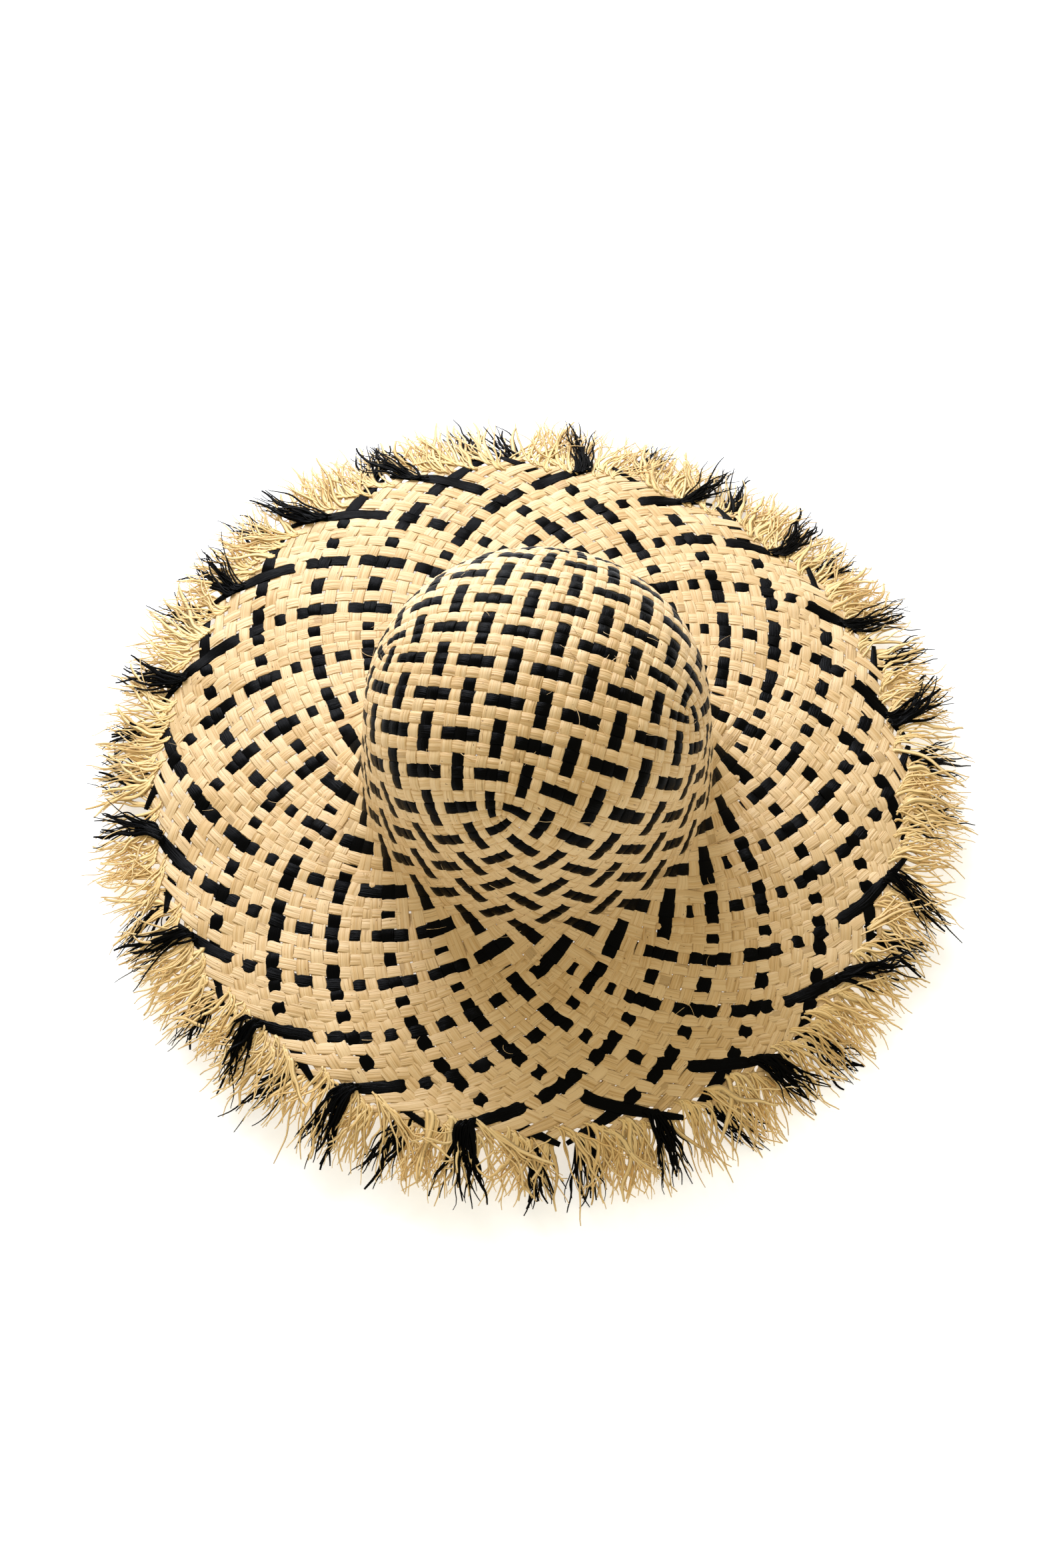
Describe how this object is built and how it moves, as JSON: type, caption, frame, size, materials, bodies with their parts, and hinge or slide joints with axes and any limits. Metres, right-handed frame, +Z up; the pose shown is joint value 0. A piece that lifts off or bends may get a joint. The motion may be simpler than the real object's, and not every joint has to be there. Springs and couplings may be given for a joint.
{
  "type": "woven sun hat",
  "caption": "Hand-woven raffia sun hat with a deep rounded crown, a wide gently waved brim, a long frayed fringe and black strands worked through the natural weave.",
  "frame": {"origin": "centre of the outline at the level of the lowest fringe tips, where the hat stands", "axes": "+Z up along the crown's axis, -Y to the front of the hat, +X to its right as seen from the front"},
  "size_m": [0.4852, 0.4852, 0.1706],
  "materials": {
    "natural_raffia": "matte woven palm fibre",
    "black_raffia": "dyed palm fibre with a faint sheen",
    "raffia_fringe": "frayed palm fibre",
    "sweatband_ribbon": "ribbed grosgrain"
  },
  "bodies": {
    "root": {"crown_cloth": "natural_raffia", "brim_cloth": "natural_raffia", "black_strand_a01": "black_raffia", "black_strand_a02": "black_raffia", "black_strand_a03": "black_raffia", "black_strand_a04": "black_raffia", "black_strand_a05": "black_raffia", "black_strand_a06": "black_raffia", "black_strand_a07": "black_raffia", "black_strand_a08": "black_raffia", "black_strand_a09": "black_raffia", "black_strand_a10": "black_raffia", "black_strand_b01": "black_raffia", "black_strand_b02": "black_raffia", "black_strand_b03": "black_raffia", "black_strand_b04": "black_raffia", "black_strand_b05": "black_raffia", "black_strand_b06": "black_raffia", "black_strand_b07": "black_raffia", "black_strand_b08": "black_raffia", "black_strand_b09": "black_raffia", "black_strand_b10": "black_raffia", "fringe_upper": "raffia_fringe", "fringe_lower": "raffia_fringe", "sweatband": "sweatband_ribbon"}
  },
  "joints": []
}
